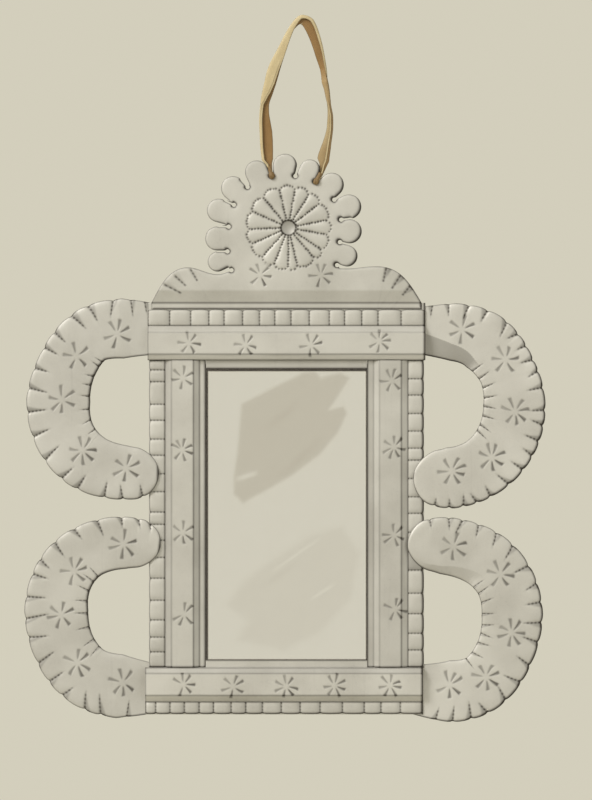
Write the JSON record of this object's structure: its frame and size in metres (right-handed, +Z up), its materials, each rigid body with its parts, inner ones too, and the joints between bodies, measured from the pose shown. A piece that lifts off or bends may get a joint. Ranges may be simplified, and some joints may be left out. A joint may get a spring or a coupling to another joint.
{
  "type": "wall mirror",
  "caption": "Upright wall mirror in a frame of bent sheet metal, with scored edging, a lobed crest with an embossed rosette, four C-scrolls and a hide hanging loop.",
  "frame": {"origin": "middle of the back plate's rear face, which lies flat against the wall", "axes": "+X across the mirror to the viewer's right, +Z up, +Y into the wall; the glass faces -Y"},
  "size_m": [0.4086, 0.0114, 0.5554],
  "materials": {
    "tinplate": "aged tinplate, dull, darkened in the creases",
    "glass": "old sheet glass, polished",
    "silvering": "mirror silvering behind the glass",
    "card": "brown backing card",
    "rawhide": "buff hide thong, smooth side and rough side",
    "solder": "dull soft solder"
  },
  "bodies": {
    "mirror": {"crest_plate": "tinplate", "top_rail": "tinplate", "bottom_rail": "tinplate", "left_stile": "tinplate", "right_stile": "tinplate", "top_scored_strip": "tinplate", "bottom_scored_strip": "tinplate", "left_scored_strip": "tinplate", "right_scored_strip": "tinplate", "upper_left_scroll": "tinplate", "upper_right_scroll": "tinplate", "lower_left_scroll": "tinplate", "lower_right_scroll": "tinplate", "mirror_glass": "glass", "silvering": "silvering", "backing_card": "card", "back_plate": "tinplate", "left_thong_knot": "rawhide", "right_thong_knot": "rawhide", "corner_solder": "solder", "crest_solder": "solder", "back_plate_solder": "solder", "scroll_solder": "solder"},
    "thong_loop": {"hanging_thong": "rawhide"}
  },
  "joints": [
    {"name": "thong_fold", "type": "hinge", "parent": "mirror", "child": "thong_loop", "pos_m": [0.0057, -0.0065, 0.26165], "axis": [-0.9916, 0, 0.1297], "range_deg": [0, 165]}
  ]
}
